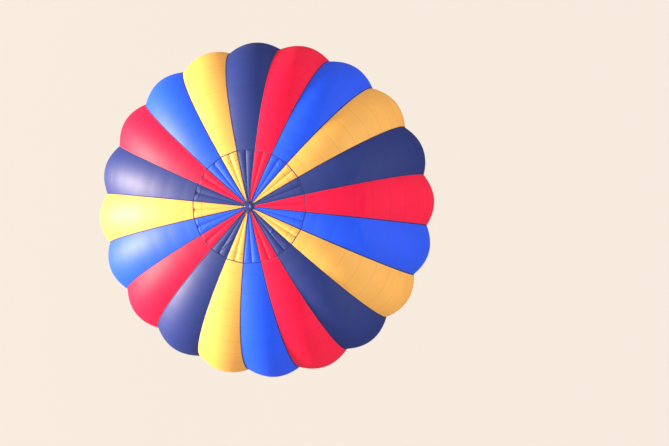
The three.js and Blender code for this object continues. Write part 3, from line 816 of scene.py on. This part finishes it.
def lug():
    """A plate across Y with a round top and a hole."""
    reach = polar(1, around(40))[:, :2]
    hole = reach * LUG_HOLE + (0, 0.004)
    circle = reach * (LUG_WIDTH / 2, LUG_HEIGHT / 2 + 0.001)
    square = circle / np.abs(reach).max(1)[:, None]
    outline = np.where(reach[:, 1:] > 0, circle, square)
    half = LUG_THICK / 2
    rows = [(outline, -half), (outline, half), (hole, half), (hole, -half)]
    return grid(np.stack([np.insert(place, 1, y, axis=1) for place, y in rows]), True, True)


def make_frame():
    parts = Parts(z=FRAME_Z)
    corners = [np.array([sx * FRAME_X, sy * FRAME_Y, 0]) for sx, sy in QUARTERS]
    for (sx, sy), here, there in zip(QUARTERS, corners, corners[1:] + corners[:1]):
        way = unit(there - here)
        reach = way * (CORNER / 2 + 0.001)
        parts.add(STEEL, bar(here, there, FRAME_R, 28))
        for end in (here + reach, there - reach):
            parts.add(DARK, weld(end, FRAME_R + 0.001, way))
        parts.add(STEEL, block(here, (CORNER, CORNER, CORNER), 0.006))
        parts.add(STEEL, lug(), at=here + (0, 0, LUG_Z - FRAME_Z))
        parts.add(DARK, weld(here + (0, 0, CORNER / 2), 0.03, (0, 0, 1)))
        for out in (np.array([sx, 0, 0]), np.array([0, sy, 0])):
            for up in (-0.022, 0.022):
                parts.add(DARK, *bolt(here + out * CORNER / 2 + (0, 0, up), 0.0065, 0.005, out))
    for y in (0.02 - FRAME_Y, FRAME_Y - 0.02):
        parts.add(STEEL, block((0, y, 0), (CARRIER, 0.04, CARRIER), 0.005))
        for x in (-0.019, 0.019):
            parts.add(DARK, *bolt((x, y, CARRIER / 2), 0.005, 0.004))
    new_piece("load_frame", parts, ["burner_frame"])


def make_upright(number, sx, sy):
    low, high = RIM_Z - 0.148, FRAME_Z - CORNER / 2 - 0.0005
    belts = (0.25, 0.62, 0.95)
    heights = np.linspace(0, high - low, 60)
    swell = 0.0235 + 0.0012 * np.sin(heights * 26 + number - 1) + 0.0006 * np.sin(heights * 71)
    for place, pull in zip(belts, (0.003, 0.003, 0.004)):
        swell -= pull * np.exp(-(((heights - place) / 0.012) ** 2))
    swell[[0, -1]] = 0.021
    parts = Parts(sx * FRAME_X, sy * FRAME_Y, low).add(SLEEVE_HIDE, lathe(stacked(swell, heights), 24))
    inward = -np.array([sx, sy, 0]) / sqrt(2)
    tangent = np.cross(inward, (0, 0, 1))
    bend = np.linspace(-1, 1, 7)[:, None]
    arc = 0.0245 * (inward * np.cos(0.45 * bend) + tangent * np.sin(0.45 * bend))
    for up in 0.2 + 0.036 * np.arange(22):
        for sign in (-1, 1):
            parts.add(LACE, tube(arc + (up + 0.014 * sign * bend) * UP, 0.0014, 5))
    for place in belts:
        parts.add(STRAP, belt(0.0215, 0.0243, 0.009, 24), at=(0, 0, place))
    piece = new_piece(f"upright_sleeve_{number}", parts, [f"upright_{number}"])


# Burner and gimbal

def make_gimbal():
    parts = Parts(z=FRAME_Z).add(STEEL, ring((0, 0, 0), GIMBAL_R, GIMBAL_TUBE_R, 96, 14))
    for side in (-1, 1):
        x, y = side * (GIMBAL_R - 0.02), side * GIMBAL_R
        parts.add(STEEL, block((x, 0, 0), (0.04, CARRIER, CARRIER), 0.005))
        parts.add(DARK, *bolt((x, 0, CARRIER / 2), 0.006, 0.005))
        parts.add(STEEL, bar((0, y, 0), (0, side * (FRAME_Y - 0.004), 0), TRUNNION_R, 24))
        for at in ((0, y + side * TRUNNION_R, 0), (x, -0.029, 0), (x, 0.029, 0)):
            parts.add(DARK, weld(at, 0.013, (0, 1, 0)))
    new_piece("gimbal_hoop", parts, ["gimbal_ring"], "gimbal")


# One burner's turned parts: radius, and height over the beam's middle or the gauge's back
PAN = [
    (0.05, 0.046), (0.118, 0.044), (0.138, 0.047), (0.146, 0.054), (0.146, 0.064), (0.143, 0.066),
    (0.14, 0.064), (0.139, 0.056), (0.132, 0.051), (0.05, 0.052),
]
STEM = [
    (0.034, -0.056), (0.04, -0.052), (0.048, -0.04), (0.048, 0.04), (0.042, 0.048), (0.042, 0.07),
    (0.03, 0.088), (0.02, 0.094),
]
INLET = [
    (0.009, -0.146), (0.011, -0.14), (0.011, -0.112), (0.013, -0.11), (0.013, -0.084), (0.01, -0.082),
    (0.01, -0.05),
]
GAUGE = [(0.02, 0), (0.024, 0.002), (0.024, 0.01), (0.021, 0.012), (0.02, 0.01)]
JET_R, HOLE_R = 0.054, 0.125
# how far out a lever's places stand from the beam's middle, and their heights
LEVER = [(0.062, -0.03), (0.07, -0.038), (0.078, -0.08), (0.08, -0.11)]


def burner(x):
    """One burner above and below the beam: its pan, jets, valves, levers, gauge and inlet."""
    parts = Parts(x, z=FRAME_Z).add(STEEL, lathe(PAN, 56, True)).add(DARK, lathe(STEM))
    parts.add(STEEL, ring((0, 0, 0.096), JET_R, 0.007, 40))
    for angle in around(12):
        jet, hole = lathe([(0.003, 0), (0.003, 0.006), (0.0015, 0.008)], 8), disc(0.0045, 0, 0.0008, 12)
        parts.add(BRASS, jet, at=polar(JET_R, angle, 0.1))
        parts.add(DARK, hole, at=polar(HOLE_R, angle, 0.0505))
    for angle in (0.6, 0.6 + pi):
        parts.add(STEEL, tube(polar(np.array([0.03, 0.045, JET_R]), angle, [0.08, 0.094, 0.096]), 0.005))
    parts.add(BRASS, lathe(INLET, 16), disc(0.0135, -0.108, -0.088, 6))
    for side in (-1, 1):
        valve_x = side * 0.018
        lever = [(valve_x, side * out, up) for out, up in LEVER]
        parts.add(BRASS, block((valve_x, side * 0.04, -0.03), (0.026, 0.03, 0.03), 0.003))
        parts.add(STEEL, bar((valve_x, side * 0.05, -0.03), lever[0], 0.008), tube(lever, 0.004))
        parts.add(BLACK, bar(*lever[-2:], 0.0085, 14))
    gauge_at, forward = (0, -0.03, 0.012), facing((0, -1, 0))
    parts.add(BLACK, lathe(GAUGE, 28), at=gauge_at, turn=forward)
    return parts.add(BRASS, disc(0.0205, 0.0098, 0.0102, 28), at=gauge_at, turn=forward)


def make_burner():
    parts = Parts(z=FRAME_Z).add(STEEL, block((0, 0, 0), (0.668, 0.044, CARRIER), 0.006))
    for side in (-1, 1):
        parts.add(STEEL, bar((side * 0.33, 0, 0), (side * 0.396, 0, 0), TRUNNION_R, 24))
        parts.add(DARK, weld((side * 0.335, 0, 0), 0.013, (1, 0, 0)))
        for x in (0.26, 0.31):
            parts.add(DARK, *bolt((side * x, 0, CARRIER / 2), 0.006, 0.005))
        parts += burner(side * BURNER_X)
    new_piece("twin_burner", parts, ["burner_block"], "burner")


def make_coil(side, name):
    """A vaporising coil with its guard strips, standing on the pan."""
    per_turn = 40
    angle = np.arange(COIL_TURNS * per_turn + 1) / per_turn * 2 * pi
    height = COIL_TUBE_R + angle / (2 * pi) * (COIL_HEIGHT / COIL_TURNS)
    parts = Parts(side * BURNER_X, 0, FRAME_Z + 0.0663)
    parts.add(TINTED, tube(polar(COIL_R, angle, height), COIL_TUBE_R, 8))
    for angle in around(4) + pi / 4:
        strip = block((COIL_R - 0.0085, 0, 0.16), (0.0025, 0.016, 0.318), 0.0008)
        parts.add(STEEL, strip, turn=about_z(angle))
    parts.add(TINTED, ring((0, 0, 0.3165), COIL_R, 0.0035, 56, 8))
    new_piece(f"vaporiser_{name}", parts, [f"burner_coil_{name}"], "burner")


# A gas cylinder's TANK (insets from its radius), BOSS and PORT (radii), each with heights
TANK = [
    (0.034, 0.03), (0.031, 0.01), (0.028, 0.001), (0.02, 0.001), (0.013, 0.02), (0.006, 0.055),
    (0, 0.085), (0, 0.38), (0.0015, 0.384), (0, 0.388), (0, 0.69), (0.004, 0.715), (0.018, 0.748),
    (0.045, 0.776), (0.08, 0.795), (TANK_R - 0.032, 0.806),
]
BOSS = [(0.03, 0.8), (0.03, 0.812), (0.022, 0.816), (0.018, 0.835), (0.012, 0.84), (0.01, 0.848)]
PORT = [(0.011, 0), (0.011, 0.024), (0.014, 0.026), (0.014, 0.044), (0.009, 0.046)]


def make_cylinder(number, sx, sy):
    parts = Parts(sx * TANK_X, sy * TANK_Y, BASE_Z)
    parts.add(STEEL, lathe([(TANK_R - inset, z) for inset, z in TANK], 48))
    guard_r = TANK_R - GUARD_INSET
    parts.add(STEEL, ring((0, 0, GUARD_HIGH), guard_r, 0.0055, 56))
    section = [(-0.002, GUARD_LOW), (0.002, GUARD_LOW), (0.002, GUARD_HIGH), (-0.002, GUARD_HIGH)]
    for middle in around(4) + pi / 4:
        post = [polar(guard_r + d, middle + np.linspace(-0.3, 0.3, 9), z) for d, z in section]
        parts.add(STEEL, grid(np.stack(post, 1), ring_cols=True))
    parts.add(BRASS, lathe(BOSS, 24))
    parts.add(BLACK, ring((0, 0, 0.85), 0.024, 0.0045, sides=8))
    for angle in around(6)[:3]:
        spoke = polar(0.023, angle)
        parts.add(BLACK, bar(-spoke, spoke, 0.003, 8), at=(0, 0, 0.85))
    parts.add(BRASS, lathe(PORT, 18), at=(0, 0, 0.824), turn=facing((-sx, 0, 0)))
    for up in (0.22, 0.55):
        parts.add(STRAP, belt(TANK_R + 0.0002, TANK_R + 0.002, 0.019, 48), at=(0, 0, up))
        parts.add(STEEL, block((-sx * (TANK_R + 0.003), 0, up), (0.006, 0.046, 0.044), 0.002))
    replaces = [f"{piece}_{number}" for piece in ("gas_cylinder", "cylinder_valve", "cylinder_guard")]
    new_piece(f"fuel_cylinder_{number}", parts, replaces)


# Basket

def round_path(count, inset=0):
    """Even places round the basket from its +X side, each one's way out and its distance."""
    half_x, half_y, corner = (size - inset for size in (BASKET_X, BASKET_Y, BASKET_CORNER))
    places, ways = [[(half_x, 0, 0)]], [[(1, 0, 0)]]
    for i, (sx, sy) in enumerate(QUARTERS):
        ways.append(polar(1, np.radians(np.linspace(0, 90, 33)) + i * pi / 2))
        places.append(corner * ways[-1] + (sx * (half_x - corner), sy * (half_y - corner), 0))
    places, ways = (np.vstack(rows + rows[:1]) for rows in (places, ways))
    length = run_length(places)
    at = np.arange(count) / count * length[-1]
    path, out = (stacked(*[np.interp(at, length, column) for column in rows.T]) for rows in (places, ways))
    return path, unit(out), at


def in_step(place, z, margin):
    near_x = abs(place[0]) < STEP_HALF + margin and abs(place[1]) > BASKET_Y - 0.1
    return near_x and abs(z - BASE_Z - STEP_UP) < STEP_HEIGHT / 2 + margin


def weaver(row, path, out, at, wave):
    """One row of weaving, in two lengths where the step holes cut it."""
    z = BASE_Z + WEAVER_PITCH * (row + 0.5)
    stout = row % 21 in (0, 1)
    place = path + out * (wave * (-1) ** row - BASKET_WALL / 2)[:, None]
    place[:, 2] = z + 0.0012 * np.sin(at * 9 + row)
    tone = (0.15 if stout else 0.35) + 0.65 * random.random()
    points = swept(place, out, 1.2 * UP, 0.0072 if stout else 0.0065, 5)
    cut = stacked(tone, np.repeat(at[:, None], 5, 1))
    keep = np.array([not in_step(p, z, 0.006) for p in place])
    if keep.all():
        return [grid(points, True, True, cut)]
    first = np.flatnonzero(~keep)[0]
    keep, points, cut = (np.roll(a, -first, 0) for a in (keep, points, cut))
    edges = np.flatnonzero(np.diff(np.r_[0, keep, 0]))
    spans = [slice(low, high) for low, high in zip(edges[::2], edges[1::2])]
    return [grid(points[span], ring_cols=True, cut=cut[span]) for span in spans]


def make_weave():
    per_stake = 3
    path, out, at = round_path(STAKES * per_stake)
    wave = 0.0088 * np.cos(np.arange(len(at)) * pi / per_stake)
    rows = int(BASKET_HEIGHT / WEAVER_PITCH)
    lower, upper = range(rows // 2), range(rows // 2, rows)
    for name, span, replaces in (("lower", lower, ["basket_wicker"]), ("upper", upper, [])):
        parts = Parts()
        for row in span:
            parts.add(CANE, *weaver(row, path, out, at, wave))
        new_piece(f"basket_weave_{name}", parts, replaces)


def make_stakes():
    path, out, _ = round_path(STAKES)
    foot, head, middle = BASE_Z + 0.001, RIM_Z + 0.01, BASE_Z + STEP_UP
    gap = STEP_HEIGHT / 2 + 0.004
    parts = Parts()
    for spot in path - out * BASKET_WALL / 2:
        spans = [(foot, head)]
        if in_step(spot, middle, 0):
            spans = [(foot, middle - gap), (middle + gap, head)]
        tone = 0.2 + 0.5 * random.random()
        for low, high in spans:
            heights = np.linspace(low, high, 8)[:, None]
            points, faces, _ = tube(spot + heights * UP, 0.0052, 8)
            parts.add(CANE, (points, faces, stacked(np.full(8, tone), heights)))
    new_piece("basket_stakes", parts)


def make_sockets():
    """Cane-bound sockets for the uprights and the pillars that tie them to the corners."""
    parts = Parts(z=RIM_Z - SOCKET_DROP)
    heights = np.linspace(0, 0.168, 61)
    ridges = 0.0395 + 0.0035 * np.abs(np.sin(np.arange(61) * pi / 4))
    for sx, sy in QUARTERS:
        for shift, bore in ((0, [(0.0285, 0.168), (0.0285, 0.03)]), (0.029, [])):
            points, faces, _ = lathe([*zip(ridges, heights), *bore], 24)
            tone = 0.3 + 0.5 * (np.arange(61 + len(bore)) // 4 % 5) / 5
            shape = (points, faces, stacked(tone[:, None], np.arange(24) * 0.011))
            parts.add(CANE, shape, at=(sx * (FRAME_X + shift), sy * (FRAME_Y + shift), 0))
        for up in (0.004, 0.164):
            parts.add(HIDE, ring((sx * FRAME_X, sy * FRAME_Y, up), 0.0395, 0.0042, sides=8))
    new_piece("upright_sockets", parts)


def make_bindings():
    """A leather binding round each step hole."""
    parts = Parts(z=BASE_Z + STEP_UP)
    square = polar(1, around(64))
    x, z, _ = (np.sign(square) * np.abs(square) ** 0.35 * (STEP_HALF + 0.004, STEP_HEIGHT / 2 + 0.004, 1)).T
    for y in (BASKET_WALL / 2 - BASKET_Y, BASKET_Y - BASKET_WALL / 2):
        rows = []
        for turn in around(12):
            grow = 1 + 0.125 * cos(turn)
            rows.append(stacked(x * grow, y + 0.0175 * sin(turn), z * grow))
        parts.add(HIDE, grid(np.stack(rows, 1), True, True))
    new_piece("step_bindings", parts)


def make_rim():
    """The padded leather rim, laced along its inner underside."""
    count = 300
    path, out, at = round_path(count, BASKET_WALL / 2)
    swell = RIM_R * (1 - 0.01 - 0.012 * np.abs(np.sin(at * pi / 0.32)) ** 4)
    parts = Parts(z=RIM_Z + 0.0003 + RIM_R)
    parts.add(HIDE, grid(swept(path, out, UP, swell, 20), True, True))
    for i in range(0, count, 2):
        for start, end in ((-0.9, -0.45), (-0.45, -0.9)):
            stitch = []
            for step in range(3):
                k = (i + step) % count
                angle = pi + 0.7 + start + (end - start) * step / 2
                way = unit(UP[0] * sin(angle) - out[k] * abs(cos(angle)))
                stitch.append(path[k] + way * (RIM_R - 0.0002))
            parts.add(LACE, tube(stitch, 0.0013, 4))
    new_piece("rim_leather", parts, ["basket_rim"])


def make_band():
    """A hide scuff band round the foot of the basket, laced along its upper edge."""
    path, out, at = round_path(264)
    high = 0.148 + 0.0015 * np.sin(at * 21)
    section = [(0.001, 0.002), (0.006, 0.001), (0.0085, 0.006)]
    section += [(0.0085, high - 0.006), (0.006, high), (0.001, high)]
    lacing = [(0.0088, 0.124), (0.0094, 0.138), (0.0085, 0.152), (0.0035, 0.16)]
    rows = [path + out * off + stacked(0, 0, up + 0 * at) for off, up in section]
    parts = Parts(z=BASE_Z).add(HIDE, grid(np.stack(rows, 1), True, True))
    for place, way in zip(path[::3], out[::3]):
        parts.add(LACE, tube([place + way * off + (0, 0, up) for off, up in lacing], 0.0016, 5))
    new_piece("scuff_hide", parts, ["basket_band"])


def make_skid(side, name):
    parts = Parts(y=side * SKID_Y, z=BASE_Z - 0.0006 - 0.02 - 0.025)
    parts.add(ASH, block((0, 0, 0), SKID_SIZE, 0.006))
    for x in (-0.6, -0.2, 0.2, 0.6):
        for y in (-0.022, 0.022):
            parts.add(DARK, disc(0.007, -0.0005, 0.0008, 18), at=(x, y, -SKID_SIZE[2] / 2))
    new_piece(f"skid_{name}", parts, [f"basket_skid_{name}"])


# Floor and light

def make_floor():
    s = Shader("floor")
    mesh = bpy.data.meshes.new("floor")
    corners = [(sx * FLOOR_HALF, sy * FLOOR_HALF, CAD_BOX[0].z - FLOOR_DROP) for sx, sy in QUARTERS]
    mesh.from_pydata(corners, [], [(0, 1, 2, 3)])
    mesh.materials.append(s.finish(s.principled((0.36, 0.355, 0.35), Roughness=0.95)))
    floor = new_object("floor", mesh)
    floor.visible_glossy = False


def make_sky():
    """Cool light from overhead and warm light from the horizon, dimming below it."""
    s = Shader("studio", "worlds")
    height = s.node("SeparateXYZ", {0: s.node("TexCoord")["Generated"]})[2]
    tint = s.mix(s.band(height, 0.1, 0.9), SKY_LOW, SKY_HIGH)
    strength = s.band(height, -0.4, -0.05, 0.12, SKY_STRENGTH)
    background = s.node("Background", {"Color": tint, "Strength": strength})[0]
    SCENE.world = s.finish(background, "OutputWorld")


def make_sun(name, toward, energy, spread, color):
    sun = bpy.data.lights.new(name, "SUN")
    sun.energy, sun.angle, sun.color = energy, radians(spread), color
    lamp = new_object(name, sun)
    lamp.rotation_mode = "QUATERNION"
    lamp.rotation_quaternion = Vector(toward).to_track_quat("-Z", "Y")
    return lamp


make_floor()
make_sky()
make_sun("low_sun", (0.96, -0.04, -0.27), 17, 14, (1, 0.82, 0.66))
fill = make_sun("fill", (-0.85, 0.1, -0.5), 2.6, 100, (1, 0.98, 0.96))
fill.visible_glossy = False
SCENE.view_settings.view_transform = "Standard"

for index in range(GORES):
    make_gore(index)
make_vent()
make_tapes()
make_crown_ring()
make_skirt()
make_frame()
make_gimbal()
make_burner()
for side, name in ((-1, "left"), (1, "right")):
    make_coil(side, name)
    make_skid(-side, name)
for number, (sx, sy) in enumerate(QUARTERS, 1):
    make_wires(number, sx, sy)
    make_upright(number, sx, sy)
    make_cylinder(number, sx, sy)
make_weave()
make_stakes()
make_sockets()
make_bindings()
make_rim()
make_band()
floor_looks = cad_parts["basket_floor"].data.materials
floor_looks.clear()
floor_looks.append(PLY)
